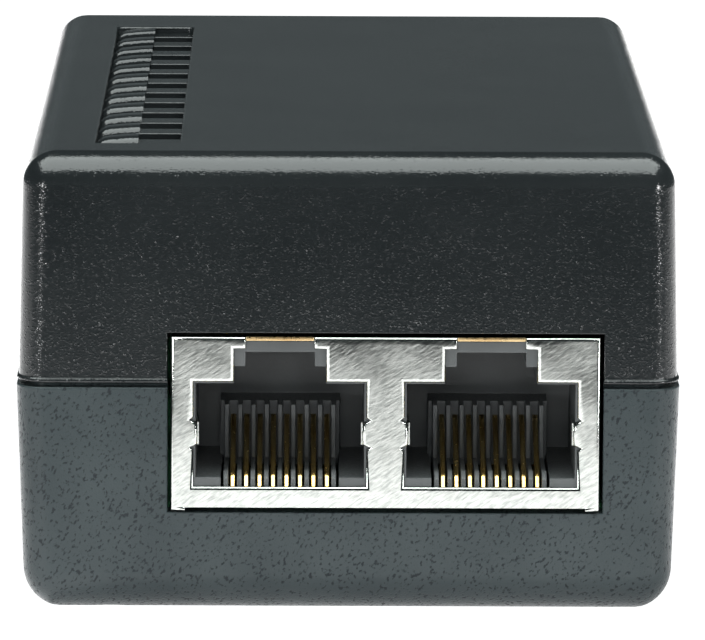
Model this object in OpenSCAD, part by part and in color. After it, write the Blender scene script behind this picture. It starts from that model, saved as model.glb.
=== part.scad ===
// Power-over-Ethernet injector: a two-shell plastic case around a small mains
// supply, with two shielded network ports in front and a mains inlet behind.
// Z is up, the ports face -Y, and the origin is under the middle of the case.

/* [Case] */
// Outside width at the joint line
body_w = 50; // [50:0.5:54]
// Outside length at the joint line
body_l = 86; // [86:1:94]
// Height of the upper cover above the joint line
cover_h = 17.4; // [17:0.2:20]
// Depth of the lower shell below the joint line
base_h = 17.6; // [17.6:0.2:19]
// Wall thickness
wall = 2; // [1.8:0.1:2.2]
// Draft angle of the outside walls
draft = 1.8; // [1:0.1:2]
// Radius of the upright corners
corner_r = 2.3; // [2:0.1:3]
// Radius round the top of the cover
top_r = 2.5; // [2:0.1:3]
// Radius round the bottom of the lower shell
bottom_r = 3.2; // [2.4:0.1:3.4]
// Height of the shadow gap between the shells
joint_gap = 0.34; // [0.2:0.02:0.5]

/* [Vents] */
// Number of slots in the column
vent_count = 12; // [6:1:12]
// Distance from one slot to the next
vent_pitch = 5.72; // [5:0.02:5.8]
// Length of a slot across the case
vent_len = 6.4; // [5:0.2:7]
// Width of a slot along the case
vent_w = 3.2; // [2.4:0.1:4]
// Middle of the column, measured from the middle of the case
vent_x = -16; // [-16:0.5:-14]
// Front edge of the first slot behind the front face
vent_start = 6.8; // [6.8:0.1:8]

/* [Network ports] */
// Sideways offset of the double jack
jack_x = 2.8; // [2:0.1:3]
// Outside width of the jack shield
jack_w = 32.3; // [32:0.1:32.6]
// Outside height of the jack shield
jack_h = 13.1; // [13:0.1:13.4]
// Depth of the jack behind the front face
jack_d = 18; // [17:0.5:18]
// Distance between the two ports
port_pitch = 15.875; // [15.8:0.025:15.9]
// Thickness of the shield sheet
sheet_t = 0.3; // [0.2:0.05:0.3]
// Distance between neighbouring contacts
contact_pitch = 1.016; // [1:0.002:1.02]
// Angle of the contact springs above level, with no plug
contact_rise = 29; // [26:1:30]
// Depth of the plug cavity
cavity_d = 12.6; // [12:0.2:13]

/* [Mains inlet] */
// Outside width of the inlet body
inlet_w = 28; // [27.5:0.1:28.4]
// Outside height of the inlet body
inlet_h = 20; // [19.6:0.1:20.4]
// Length of the inlet body
inlet_d = 24; // [22:0.5:24]
// Depth of the inlet cavity
inlet_cavity_d = 17.5; // [16:0.5:18]

/* [Circuit board and fixings] */
// Height of the joint line above the top of the board
joint_over_board = 9.4; // [9.2:0.1:9.4]
// Board thickness
board_t = 1.6; // [1.2:0.2:1.6]
// Height of the rubber feet below the case
foot_h = 0.8; // [0.6:0.1:1.5]
// Radius of a rubber foot
foot_r = 3.5; // [3:0.1:3.6]

/* [Hidden] */
$fn = 48;

eps = 0.01;
blend_steps = 6;
front_y = -body_l / 2;
back_y = body_l / 2;
joint_z = foot_h + base_h;
top_z = joint_z + cover_h;
floor_z = foot_h + wall;
board_top = joint_z - joint_over_board;
board_under = board_top - board_t;
lead_end = board_under - 1.2;

// Tongue of the lower shell inside the skirt of the cover
tongue_h = 1.6;
tongue_out = 1.05;
tongue_play = 0.1;

// Screw posts
post_r = 2.6;
seat_r = 3.4;
post_top = 14;
head_r = 2.1;
head_h = 1.7;
head_under = 5.8;
screw_r = 1.2;
screw_len = 15;
screw_x = body_w / 2 - 7;
screw_y = body_l / 2 - 5.1;
mid_screw_y = -20;
screw_places = [
    [-screw_x, -screw_y], [screw_x, mid_screw_y],
    [-screw_x, screw_y], [screw_x, screw_y]
];
foot_places = [for (sx = [-1, 1], sy = [-1, 1]) [sx * 11, sy * (body_l / 2 - 11)]];
foot_sink = 0.5;
label_size = [28, 48, 0.15];

// Board outline
board_w = body_w - 8;
board_l = body_l - 6;
board_notch = 6.1;

// Double jack, heights counted from the top of the board
jack_y = front_y + 0.1;
jack_back = jack_y + jack_d;
port_x = [jack_x - port_pitch / 2, jack_x + port_pitch / 2];
window_half = 6.5;
window_z = [1.65, 9.65];
latch_half = [3.45, 2.55];
latch_z = [12.15, jack_h - sheet_t];
tab_z = [4.85, 6.55];
tab_in = 0.3;
tab_t = 0.2;
tab_len = 4;
relief = [0.3, 0.2];
shield_foot = [1.1, 0.2];
opening_gap = 0.25;
cavity_half = 6.35;
cavity_z = [2.3, 9.5];
trench_half = 4.45;
trench_z = 0.9;
tunnel_z = 1.5;
contacts = 8;
wire_w = 0.35;
wire_t = 0.28;
spring_len = 8.4;
pivot_y = jack_y + 1.6;
pivot_z = board_top + 2.15;
knuckle_r = 0.26;
fin_w = 0.36;
comb_top = 6.5;
comb_back = 9.9;
tail_z = [1.05, 1.3];
tail_rows = [jack_back - 3.4, jack_back - 1.6];
shield_tab_y = [jack_y + 6, jack_y + 13];
shield_tab = [sheet_t, 1.2, 2.8];

// Mains inlet
inlet_back = back_y - 0.1;
inlet_front = inlet_back - inlet_d;
inlet_z = board_top + inlet_h / 2;
inlet_hole = [24.4, 16.4];
inlet_chamfer = 3.6;
pin_size = [2, 4];
pin_recess = 1.8;
pin_x = 7;
pin_z = [-1.6, 2.4];
pin_tail_t = 1;

// Component places on the board
lead_r = 0.35;
lead_hole_r = 0.45;
fuse_at = [3.3, 6.6];
varistor_at = [17.6, 25];
x_cap_at = [-3.4, 15];
choke_at = [-6.6, 6.3];
bridge_at = [-17.3, 25.2];
bulk_at = [13.4, 6.6];
trafo_at = [-4, -7.4];
primary_sink_y = [-1, 16];
secondary_sink_y = [-24, -8];
sink_x = -19.9;
sink_t = 1.4;
sink_h = 20;
out_cap_at = [[-8.4, -19.4], [1.4, -19.4]];
lan_at = [10.4, -17.6];
opto_at = [10.6, -7.4];
y_cap_at = [17.2, -9];
chip_at = [-17.4, -29];
fuse_leads = [for (s = [-1, 1]) fuse_at + [0, s * 1.5]];
varistor_leads = [for (s = [-1, 1]) varistor_at + [0, s * 3.5]];
x_cap_leads = [for (s = [-1, 1]) x_cap_at + [s * 5, 0]];
choke_leads = [for (sx = [-1, 1], sy = [-1, 1]) choke_at + [sx * 4.4, sy * 2.6]];
bridge_leads = [for (i = [0:3]) bridge_at + [0, (i - 1.5) * 3.8]];
bulk_leads = [for (s = [-1, 1]) [bulk_at.x + s * 3.75, bulk_at.y + 11.6]];
bobbin_leads = [for (sx = [-1, 1], i = [0:4]) trafo_at + [sx * 7.4, (i - 2) * 2.5]];
switch_leads = [for (i = [-1:1]) [sink_x + sink_t + 2.6, 7.5 + i * 2.54]];
diode_leads = [for (i = [-1, 1]) [sink_x + sink_t + 2.6, -16 + i * 2.54]];
out_cap_leads = [for (c = out_cap_at, s = [-1, 1]) c + [s * 1.75, 0]];
opto_leads = [for (sx = [-1, 1], sy = [-1, 1]) opto_at + [sx * 3.81, sy * 1.27]];
y_cap_leads = [for (s = [-1, 1]) y_cap_at + [0, s * 2.5]];
lead_holes = concat(
    fuse_leads, varistor_leads, x_cap_leads, choke_leads, bridge_leads,
    bulk_leads, bobbin_leads, switch_leads, diode_leads, out_cap_leads,
    opto_leads, y_cap_leads
);

// ---- shared shapes ----

module at_corners(w, l) {
    for (sx = [-1, 1], sy = [-1, 1]) translate([sx * w / 2, sy * l / 2, 0]) children();
}

module rounded_rect(w, l, r) {
    square([w - 2 * r, l], center = true);
    square([w, l - 2 * r], center = true);
    at_corners(w - 2 * r, l - 2 * r) circle(r);
}

module corner_discs(w, l, z, r) {
    translate([0, 0, z]) at_corners(w - 2 * r, l - 2 * r) cylinder(r = r, h = eps, $fn = 32);
}

// Block standing on z = 0 with drafted walls, round corners and a round upper edge
module drafted_block(w, l, h, corner, round_r) {
    hull() {
        corner_discs(w, l, 0, corner);
        for (i = [0:blend_steps])
            let (a = 90 * i / blend_steps,
                 z = h - round_r * (1 - sin(a)),
                 side = round_r * (1 - cos(a)),
                 inset = z * tan(draft) + side)
                corner_discs(w - 2 * inset, l - 2 * inset, z - eps, max(0.4, corner - side));
    }
}

// Hollow half case, open at z = 0 and closed at z = h
module half_case(h, round_r) {
    difference() {
        drafted_block(body_w, body_l, h, corner_r, round_r);
        translate([0, 0, -1])
            drafted_block(body_w - 2 * wall, body_l - 2 * wall, h - wall + 1,
                          max(0.6, corner_r - wall), max(0.8, round_r - wall));
    }
}

// Ring between two upright outlines, for the tongue and its rebate
module wall_ring(outside, inside, h) {
    linear_extrude(h) difference() {
        rounded_rect(body_w - 2 * outside, body_l - 2 * outside, corner_r - 1);
        rounded_rect(body_w - 2 * inside, body_l - 2 * inside, corner_r - 1.6);
    }
}

module lying(length) {
    rotate([90, 0, 0]) linear_extrude(length, center = true) children();
}

// Straight leads from a height above the board down through it
module leads(places, from_z) {
    for (p = places)
        translate([p.x, p.y, lead_end]) cylinder(r = lead_r, h = from_z - lead_end, $fn = 16);
}

module board_box(at, size, z = 0) {
    translate([at.x - size.x / 2, at.y - size.y / 2, board_top + z]) cube(size);
}

// Space that the jack and the inlet take out of both shells
module face_openings() {
    translate([jack_x - jack_w / 2 - opening_gap, front_y - 1, board_top - shield_foot.y - 0.15])
        cube([jack_w + 2 * opening_gap, wall + 3, jack_h + shield_foot.y + 0.15 + opening_gap]);
    translate([-inlet_w / 2 - opening_gap, back_y - wall - 2, board_top - opening_gap])
        cube([inlet_w + 2 * opening_gap, wall + 3, inlet_h + 2 * opening_gap]);
}

// ---- case ----

module top_cover() color([0.11, 0.12, 0.125]) {
    rim = joint_z + joint_gap / 2;
    difference() {
        union() {
            translate([0, 0, rim]) half_case(cover_h - joint_gap / 2, top_r);
            for (p = screw_places) translate([p.x, p.y, post_top])
                cylinder(r = post_r, h = top_z - wall / 2 - post_top);
        }
        translate([0, 0, rim - eps])
            wall_ring(tongue_out - tongue_play, wall + 0.1, tongue_h + 2 * tongue_play);
        for (p = screw_places) translate([p.x, p.y, post_top - eps])
            cylinder(r = screw_r + 0.05, h = screw_len);
        for (i = [0:vent_count - 1])
            translate([vent_x - vent_len / 2, front_y + vent_start + i * vent_pitch, top_z - wall - 1])
                cube([vent_len, vent_w, wall + 2]);
        face_openings();
    }
}

module bottom_shell() color([0.16, 0.17, 0.175]) {
    rim = joint_z - joint_gap / 2;
    difference() {
        union() {
            translate([0, 0, rim]) mirror([0, 0, 1]) half_case(base_h - joint_gap / 2, bottom_r);
            translate([0, 0, rim - 1]) wall_ring(tongue_out, wall, tongue_h + 1);
            for (p = screw_places) translate([p.x, p.y, floor_z - wall / 2]) {
                cylinder(r = seat_r, h = board_under - floor_z + wall / 2);
                cylinder(r = post_r, h = post_top - floor_z + wall / 2);
            }
        }
        for (p = screw_places) translate([p.x, p.y, foot_h - 1]) {
            cylinder(r = head_r + 0.3, h = head_under - foot_h + 1);
            cylinder(r = screw_r + 0.3, h = post_top + 1);
        }
        for (p = foot_places) translate([p.x, p.y, foot_h - 1])
            cylinder(r = foot_r + 0.1, h = foot_sink + 1);
        translate([0, 0, foot_h]) linear_extrude(2 * label_size.z, center = true)
            rounded_rect(label_size.x + 0.4, label_size.y + 0.4, 1.2);
        face_openings();
    }
}

// Self-tapping screw with its head down, seated under z = 0
module cover_screw() {
    difference() {
        translate([0, 0, -head_h]) cylinder(r1 = head_r - 0.5, r2 = head_r, h = head_h);
        for (a = [0, 90]) rotate(a)
            translate([-1.3, -0.25, -head_h - 1]) cube([2.6, 0.5, 2]);
    }
    cylinder(r = screw_r, h = screw_len + 2);
    translate([0, 0, screw_len + 2]) cylinder(r1 = screw_r, r2 = 0.3, h = 1.2);
}

module cover_screws() color([0.72, 0.73, 0.75])
    for (p = screw_places) translate([p.x, p.y, head_under]) cover_screw();

module rubber_foot() {
    rotate_extrude() polygon([
        [0, 0], [foot_r - 0.4, 0], [foot_r, 0.4],
        [foot_r, foot_h + foot_sink], [0, foot_h + foot_sink]
    ]);
}

module rubber_feet() color([0.07, 0.07, 0.07])
    for (p = foot_places) translate([p.x, p.y, 0]) rubber_foot();

module rating_label() color([0.8, 0.8, 0.78])
    translate([0, 0, foot_h]) linear_extrude(label_size.z)
        rounded_rect(label_size.x, label_size.y, 1);

// ---- double jack ----

// Half of a port window, from its middle line to its right edge
module window_half_shape() {
    polygon([
        [-eps, window_z[0]],
        [window_half, window_z[0]],
        [window_half, tab_z[0] - 2 * relief.y],
        [window_half + relief.x, tab_z[0] - relief.y],
        [window_half - tab_in, tab_z[0]],
        [window_half - tab_in, tab_z[1]],
        [window_half + relief.x, tab_z[1] + relief.y],
        [window_half, tab_z[1] + 2 * relief.y],
        [window_half, window_z[1]],
        [latch_half[0], window_z[1]],
        [latch_half[0], latch_z[0]],
        [latch_half[1], latch_z[0]],
        [latch_half[1], latch_z[1]],
        [-eps, latch_z[1]]
    ]);
}

module port_window() {
    window_half_shape();
    mirror([1, 0]) window_half_shape();
}

module shield_face() {
    difference() {
        union() {
            translate([jack_x - jack_w / 2, 0]) square([jack_w, jack_h]);
            for (s = [0, 1])
                translate([jack_x + (s - 0.5) * jack_w - s * shield_foot.x, -shield_foot.y])
                    square([shield_foot.x, shield_foot.y + 1]);
        }
        for (x = port_x) translate([x, 0]) port_window();
    }
}

module jack_shield() color([0.78, 0.79, 0.8]) translate([0, 0, board_top]) {
    translate([0, jack_y + sheet_t / 2, 0]) lying(sheet_t) shield_face();
    translate([jack_x - jack_w / 2, jack_y, jack_h - sheet_t]) cube([jack_w, jack_d, sheet_t]);
    translate([jack_x - jack_w / 2, jack_back - sheet_t, 0.4]) cube([jack_w, sheet_t, jack_h - 0.4]);
    for (s = [0, 1]) {
        side_x = jack_x + (s - 0.5) * jack_w - s * sheet_t;
        translate([side_x, jack_y, 0]) cube([sheet_t, jack_d, jack_h]);
        for (y = shield_tab_y)
            translate([side_x, y, -shield_tab.z]) cube([shield_tab.x, shield_tab.y, shield_tab.z + 1]);
    }
    for (x = port_x, s = [-1, 1])
        translate([x + s * (window_half - tab_in), jack_y + tab_len / 2, (tab_z[0] + tab_z[1]) / 2])
            cube([tab_t, tab_len, tab_z[1] - tab_z[0]], center = true);
}

module plug_cavity() {
    mouth = jack_y - 1;
    depth = cavity_d + 1 + sheet_t;
    translate([-cavity_half, mouth, cavity_z[0]])
        cube([2 * cavity_half, depth, cavity_z[1] - cavity_z[0]]);
    translate([-latch_half[0], mouth, cavity_z[0]]) cube([2 * latch_half[0], depth, 8.5]);
    translate([-latch_half[1] - 0.05, mouth, cavity_z[0]])
        cube([2 * latch_half[1] + 0.1, depth, 9.6]);
    translate([-trench_half, mouth, trench_z])
        cube([2 * trench_half, depth, cavity_z[0] - trench_z + 1]);
    translate([-trench_half, jack_y + 3, -1]) cube([2 * trench_half, jack_d, tunnel_z + 1]);
}

// Thin wall between two contacts: a low tooth in front and a tall comb behind
module comb_fin() {
    rotate([90, 0, 90]) linear_extrude(fin_w, center = true) polygon([
        [jack_y + 0.5, trench_z - 0.2],
        [jack_y + 0.5, 2.2],
        [jack_y + 1.2, 2.7],
        [jack_y + 3.4, 2.5],
        [jack_y + 7.4, 2.5],
        [jack_y + 8, comb_top],
        [jack_y + comb_back + 0.2, comb_top],
        [jack_y + comb_back + 0.2, tunnel_z],
        [jack_y + 3, tunnel_z],
        [jack_y + 3, trench_z - 0.2]
    ]);
}

// Solid rear of the comb, which closes the slots behind the spring tips
module comb_block() {
    translate([-trench_half - 0.1, jack_y + comb_back, tunnel_z])
        cube([2 * trench_half + 0.2, cavity_d + 1 - comb_back, comb_top - tunnel_z]);
}

module jack_housing() color([0.09, 0.09, 0.095]) translate([0, 0, board_top]) {
    inside = sheet_t + 0.05;
    difference() {
        translate([jack_x - jack_w / 2 + inside, jack_y + inside, 0.05])
            cube([jack_w - 2 * inside, jack_d - 2 * inside, jack_h - 0.1 - sheet_t]);
        for (x = port_x) translate([x, 0, 0]) plug_cavity();
    }
    for (x = port_x) translate([x, 0, 0]) {
        for (i = [0:contacts]) translate([(i - contacts / 2) * contact_pitch, 0, 0]) comb_fin();
        comb_block();
    }
}

function contact_x(port, i) = port_x[port] + (i - (contacts - 1) / 2) * contact_pitch;

module port_springs(port) color([0.85, 0.65, 0.2])
    for (i = [0:contacts - 1]) translate([contact_x(port, i), pivot_y, pivot_z]) {
        rotate([0, 90, 0]) cylinder(r = knuckle_r, h = wire_w, center = true);
        rotate([contact_rise, 0, 0])
            translate([-wire_w / 2, 0, -wire_t / 2]) cube([wire_w, spring_len, wire_t]);
    }

module port_tails(port) color([0.8, 0.62, 0.25])
    for (i = [0:contacts - 1]) {
        x = contact_x(port, i) - wire_w / 2;
        row_y = tail_rows[i % 2];
        translate([x, pivot_y - knuckle_r, board_top + tail_z[0]])
            cube([wire_w, row_y - pivot_y + knuckle_r + wire_w, tail_z[1] - tail_z[0]]);
        translate([x, row_y, lead_end])
            cube([wire_w, wire_w, board_top + tail_z[1] - lead_end]);
    }

// ---- mains inlet ----

module inlet_outline(w, h) {
    polygon([
        [-w / 2, -h / 2], [w / 2, -h / 2], [w / 2, h / 2 - inlet_chamfer],
        [w / 2 - inlet_chamfer, h / 2], [-w / 2 + inlet_chamfer, h / 2],
        [-w / 2, h / 2 - inlet_chamfer]
    ]);
}

module inlet_housing() color([0.1, 0.1, 0.1]) difference() {
    union() {
        translate([-inlet_w / 2, inlet_front, board_top]) cube([inlet_w, inlet_d, inlet_h]);
        translate([-inlet_w / 2 - 1, inlet_back - 4.3, board_top])
            cube([inlet_w + 2, 1.8, inlet_h + 1]);
    }
    translate([0, inlet_back - inlet_cavity_d / 2 + 0.5, inlet_z])
        lying(inlet_cavity_d + 1) inlet_outline(inlet_hole.x, inlet_hole.y);
    for (p = [[-pin_x, pin_z[0]], [pin_x, pin_z[0]], [0, pin_z[1]]])
        translate([p.x - pin_size.x / 2, inlet_front - 1, inlet_z + p.y - pin_size.y / 2])
            cube([pin_size.x, inlet_d, pin_size.y]);
}

// Flat pin along the cavity whose tail turns down through the board
module inlet_pin(x, z) color([0.82, 0.82, 0.8]) {
    translate([x - pin_size.x / 2, inlet_front - pin_tail_t, inlet_z + z - pin_size.y / 2])
        cube([pin_size.x, inlet_d - pin_recess + pin_tail_t, pin_size.y]);
    translate([x - pin_size.x / 2, inlet_front - pin_tail_t, lead_end])
        cube([pin_size.x, pin_tail_t, inlet_z + z - lead_end]);
}

module inlet_live_pin() inlet_pin(-pin_x, pin_z[0]);

module inlet_neutral_pin() inlet_pin(pin_x, pin_z[0]);

module inlet_earth_pin() inlet_pin(0, pin_z[1]);

// ---- board ----

module main_board() color([0.12, 0.3, 0.16]) difference() {
    translate([-board_w / 2, -board_l / 2, board_under]) cube([board_w, board_l, board_t]);
    for (p = [[-1, -1], [-1, 1], [1, 1]])
        translate([p.x * board_w / 2 - board_notch, p.y * board_l / 2 - board_notch + 1, board_under - 1])
            cube([2 * board_notch, 2 * board_notch - 2, board_t + 2]);
    translate([screw_x, mid_screw_y, board_under - 1]) cylinder(r = post_r + 0.6, h = board_t + 2);
    for (p = lead_holes)
        translate([p.x, p.y, board_under - 1]) cylinder(r = lead_hole_r, h = board_t + 2);
    for (port = [0, 1], i = [0:contacts - 1])
        translate([contact_x(port, i), tail_rows[i % 2] + wire_w / 2, board_under - 1])
            cylinder(r = 0.4, h = board_t + 2);
    for (x = [-pin_x, 0, pin_x])
        translate([x - pin_size.x / 2 - 0.1, inlet_front - pin_tail_t - 0.1, board_under - 1])
            cube([pin_size.x + 0.2, pin_tail_t + 0.2, board_t + 2]);
    for (s = [0, 1], y = shield_tab_y)
        translate([jack_x + (s - 0.5) * jack_w - s * sheet_t - 0.1, y - 0.1, board_under - 1])
            cube([shield_tab.x + 0.2, shield_tab.y + 0.2, board_t + 2]);
}

module insulation_sheet() color([0.75, 0.72, 0.6]) difference() {
    translate([-body_w / 2 + 4.5, -body_l / 2 + 4.5, floor_z])
        cube([body_w - 9, body_l - 9, 0.3]);
    for (p = screw_places)
        translate([p.x, p.y, floor_z - 1]) cylinder(r = seat_r + 0.3, h = 3);
    for (p = [[-1, -1], [-1, 1], [1, 1]])
        translate([p.x * body_w / 2 - 7, p.y * body_l / 2 - 5, floor_z - 1]) cube([14, 10, 3]);
}

// ---- components ----

module fuse() color([0.3, 0.18, 0.1]) {
    translate([fuse_at.x, fuse_at.y, board_top + 1]) cylinder(r = 2.8, h = 8);
    leads(fuse_leads, board_top + 1.5);
}

module varistor() color([0.15, 0.3, 0.6]) {
    translate([varistor_at.x, varistor_at.y, board_top + 7]) rotate([0, 90, 0])
        cylinder(r = 5, h = 3.6, center = true);
    leads(varistor_leads, board_top + 5);
}

module x_capacitor() color([0.75, 0.6, 0.15]) {
    board_box(x_cap_at, [13, 5, 11], 0.2);
    leads(x_cap_leads, board_top + 1);
}

module choke_ring(inner, outer, z, h) {
    rotate_extrude() translate([inner, z]) square([outer - inner, h]);
}

module choke_core() color([0.2, 0.35, 0.25])
    translate([choke_at.x, choke_at.y, board_top + 1.6]) choke_ring(2.8, 5, 0, 4);

// Two coils, each over a third of the ring, with their leads into the board
module choke_windings() color([0.7, 0.35, 0.15]) {
    translate([choke_at.x, choke_at.y, board_top + 1.6]) for (turn = [0, 180]) rotate(turn)
        difference() {
            rotate(-62) rotate_extrude(angle = 124) translate([2, -0.8]) square([3.8, 5.6]);
            choke_ring(2.8, 5, 0, 4);
        }
    leads(choke_leads, board_top + 1.2);
}

module bridge_rectifier() color([0.12, 0.12, 0.12]) {
    board_box(bridge_at, [3.4, 14.4, 10.5], 1.5);
    leads(bridge_leads, board_top + 2);
}

// Large capacitor lying on the board with its leads bent down at the back
module bulk_capacitor() color([0.12, 0.14, 0.2]) {
    translate([bulk_at.x, bulk_at.y, board_top + 7.2]) rotate([90, 0, 0])
        cylinder(r = 7, h = 20, center = true);
    leads(bulk_leads, board_top + 7.5);
    for (p = bulk_leads) translate([p.x, p.y, board_top + 7.2]) rotate([90, 0, 0])
        cylinder(r = lead_r, h = 2, $fn = 16);
}

module sink_plate(ys) {
    translate([sink_x, ys[0], board_top + 0.2]) cube([sink_t, ys[1] - ys[0], sink_h]);
    for (y = ys) translate([sink_x - 0.6, y - (y > ys[0] ? sink_t : 0), board_top + 0.2])
        cube([0.6, sink_t, sink_h]);
}

module primary_heatsink() color([0.7, 0.71, 0.73]) sink_plate(primary_sink_y);

module secondary_heatsink() color([0.7, 0.71, 0.73]) sink_plate(secondary_sink_y);

// Power package with a metal tab, flat against a heatsink
module power_package(y, lead_places) {
    translate([sink_x + sink_t, y - 5, board_top + 5]) cube([1.3, 10, 15]);
    translate([sink_x + sink_t + 1.3, y - 5, board_top + 5]) cube([3, 10, 9]);
    leads(lead_places, board_top + 5.5);
}

module switching_transistor() color([0.14, 0.14, 0.14]) power_package(7.5, switch_leads);

module output_diode() color([0.14, 0.14, 0.14]) power_package(-16, diode_leads);

core_size = [17.6, 7, 17];
core_z = 3;
leg_w = 3;
centre_leg = 5;
yoke_h = 3.2;
flange_t = 0.7;
former = [centre_leg + 1.1, core_size.y + 1.1];
rail_gap = core_z + yoke_h - 2.8;

module transformer_core() color([0.2, 0.2, 0.21])
    translate([trafo_at.x, trafo_at.y, board_top + core_z]) difference() {
        translate([-core_size.x / 2, -core_size.y / 2, 0]) cube(core_size);
        for (s = [0, 1]) mirror([s, 0, 0])
            translate([centre_leg / 2, -core_size.y, yoke_h])
                cube([(core_size.x - centre_leg) / 2 - leg_w, 2 * core_size.y, core_size.z - 2 * yoke_h]);
    }

// Former around the centre leg, with a pin rail on each side below the core
module transformer_bobbin() color([0.16, 0.15, 0.14]) {
    window_h = core_size.z - 2 * yoke_h;
    translate([trafo_at.x, trafo_at.y, board_top + core_z + yoke_h]) {
        difference() {
            union() {
                for (z = [flange_t / 2 + 0.05, window_h - flange_t / 2 - 0.05])
                    translate([0, 0, z]) cube([11.2, 15, flange_t], center = true);
                translate([0, 0, window_h / 2])
                    cube([former.x, former.y, window_h - flange_t], center = true);
            }
            translate([0, 0, window_h / 2])
                cube([centre_leg + 0.1, core_size.y + 0.1, window_h + 1], center = true);
        }
        for (s = [-1, 1])
            translate([0, s * 5.5, 0.1 - rail_gap / 2]) cube([4, 3, rail_gap + 0.2], center = true);
    }
    board_box(trafo_at, [17.4, 12.6, 2.6], 0.2);
    leads(bobbin_leads, board_top + 1);
}

module transformer_winding() color([0.85, 0.7, 0.15]) {
    winding_h = core_size.z - 2 * yoke_h - 1.5;
    translate([trafo_at.x, trafo_at.y, board_top + core_z + yoke_h + 0.75])
        linear_extrude(winding_h) difference() {
            rounded_rect(10.9, 14.4, 2);
            square([former.x + 0.1, former.y + 0.1], center = true);
        }
}

module output_capacitors() color([0.1, 0.12, 0.2]) {
    for (c = out_cap_at) translate([c.x, c.y, board_top + 0.3]) cylinder(r = 4, h = 13);
    leads(out_cap_leads, board_top + 1);
}

module gull_wings(at, half_span, count, pitch, z) {
    for (s = [-1, 1], i = [0:count - 1])
        translate([at.x + s * half_span, at.y + (i - (count - 1) / 2) * pitch, board_top + z / 2])
            cube([1.6, 0.4, z], center = true);
}

module lan_magnetics() color([0.1, 0.1, 0.1]) {
    board_box(lan_at, [6.6, 12.4, 5.4], 0.3);
    gull_wings(lan_at, 3.9, 8, 1.27, 0.6);
}

module optocoupler() color([0.1, 0.1, 0.1]) {
    board_box(opto_at, [6.4, 4.6, 3.4], 0.5);
    for (y = [-1.27, 1.27])
        translate([opto_at.x, opto_at.y + y, board_top + 1.75]) cube([8.2, 0.6, 0.3], center = true);
    leads(opto_leads, board_top + 1.9);
}

module y_capacitor() color([0.15, 0.35, 0.65]) {
    translate([y_cap_at.x, y_cap_at.y, board_top + 5.6]) rotate([0, 90, 0])
        cylinder(r = 4, h = 3, center = true);
    leads(y_cap_leads, board_top + 3.5);
}

module controller_chip() color([0.1, 0.1, 0.1]) {
    board_box(chip_at, [3.9, 4.9, 1.4], 0.1);
    gull_wings(chip_at, 2.5, 4, 1.27, 0.5);
}

top_cover();
bottom_shell();
cover_screws();
rubber_feet();
rating_label();
jack_shield();
jack_housing();
port_springs(0);  // port_1_springs
port_springs(1);  // port_2_springs
port_tails(0);  // port_1_tails
port_tails(1);  // port_2_tails
inlet_housing();
inlet_live_pin();
inlet_neutral_pin();
inlet_earth_pin();
main_board();
insulation_sheet();
fuse();
varistor();
x_capacitor();
choke_core();
choke_windings();
bridge_rectifier();
bulk_capacitor();
primary_heatsink();
switching_transistor();
transformer_core();
transformer_bobbin();
transformer_winding();
secondary_heatsink();
output_diode();
output_capacitors();
lan_magnetics();
optocoupler();
y_capacitor();
controller_chip();
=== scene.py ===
"""Looks of the PoE injector: two textured plastic shells, a shielded double jack, vents and the inlet."""
import math

import bmesh
import bpy
from mathutils import Matrix, Vector
from mathutils.geometry import tessellate_polygon


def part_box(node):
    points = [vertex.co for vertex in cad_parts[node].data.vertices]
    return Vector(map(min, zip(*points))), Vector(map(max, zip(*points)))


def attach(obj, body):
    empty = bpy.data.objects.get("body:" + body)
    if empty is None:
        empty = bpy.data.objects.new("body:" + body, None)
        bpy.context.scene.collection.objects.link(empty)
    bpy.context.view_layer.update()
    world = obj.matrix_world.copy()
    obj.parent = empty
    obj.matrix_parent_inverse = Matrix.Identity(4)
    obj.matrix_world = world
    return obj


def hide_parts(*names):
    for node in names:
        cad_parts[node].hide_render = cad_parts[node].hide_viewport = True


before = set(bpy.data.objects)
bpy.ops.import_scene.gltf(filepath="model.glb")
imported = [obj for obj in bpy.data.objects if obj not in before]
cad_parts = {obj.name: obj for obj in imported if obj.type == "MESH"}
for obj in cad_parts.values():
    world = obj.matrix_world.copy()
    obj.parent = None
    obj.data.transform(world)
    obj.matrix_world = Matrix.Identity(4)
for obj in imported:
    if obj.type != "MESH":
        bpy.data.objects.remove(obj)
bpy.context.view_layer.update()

MM = 0.001
BODY = "case"


# ---------------------------------------------------------------- sizes from the frame

cover_lo, cover_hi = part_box("top_cover")
shell_lo, shell_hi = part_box("bottom_shell")
shield_lo, shield_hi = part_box("jack_shield")
board_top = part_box("main_board")[1].z
spring_boxes = [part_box("port_1_springs"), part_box("port_2_springs")]

WIDTH = cover_hi.x - cover_lo.x
LENGTH = cover_hi.y - cover_lo.y
TOP = cover_hi.z
BOTTOM = shell_lo.z
FRONT = cover_lo.y
BACK = cover_hi.y

WALL = 2.0 * MM
DRAFT = math.tan(math.radians(1.8))
JOINT_GAP = 0.34 * MM
JOINT = BOTTOM + 17.6 * MM

# Outer rounds: upright corners, edge of the top, edge of the underside, edge of a rim
CORNER_R = 2.3 * MM
TOP_R = 2.5 * MM
BOTTOM_R = 3.2 * MM
LIP_R = 0.14 * MM
OUTER_CORNER_MIN = 0.4 * MM

# Least radii of the inner rounds, which otherwise follow the outer ones
INNER_R_MIN = 0.8 * MM
INNER_CORNER_MIN = 0.6 * MM
CEILING_CORNER_MIN = 0.2 * MM

# Skirt of the cover over the tongue of the shell: insets from the outside, height and play
SKIRT = 0.95 * MM
TONGUE = 1.05 * MM
TONGUE_H = 1.6 * MM
TONGUE_PLAY = 0.2 * MM
# Corner radii of the wall beside the tongue, and of the tongue and the skirt
INNER_WALL_R = 0.7 * MM
RIM_STEP_R = CORNER_R - 1 * MM

# Fine ledge round the cover just above its rim
LEDGE = 0.16 * MM
LEDGE_Z = 0.14 * MM
LEDGE_RISE = 1.3 * LEDGE

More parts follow.
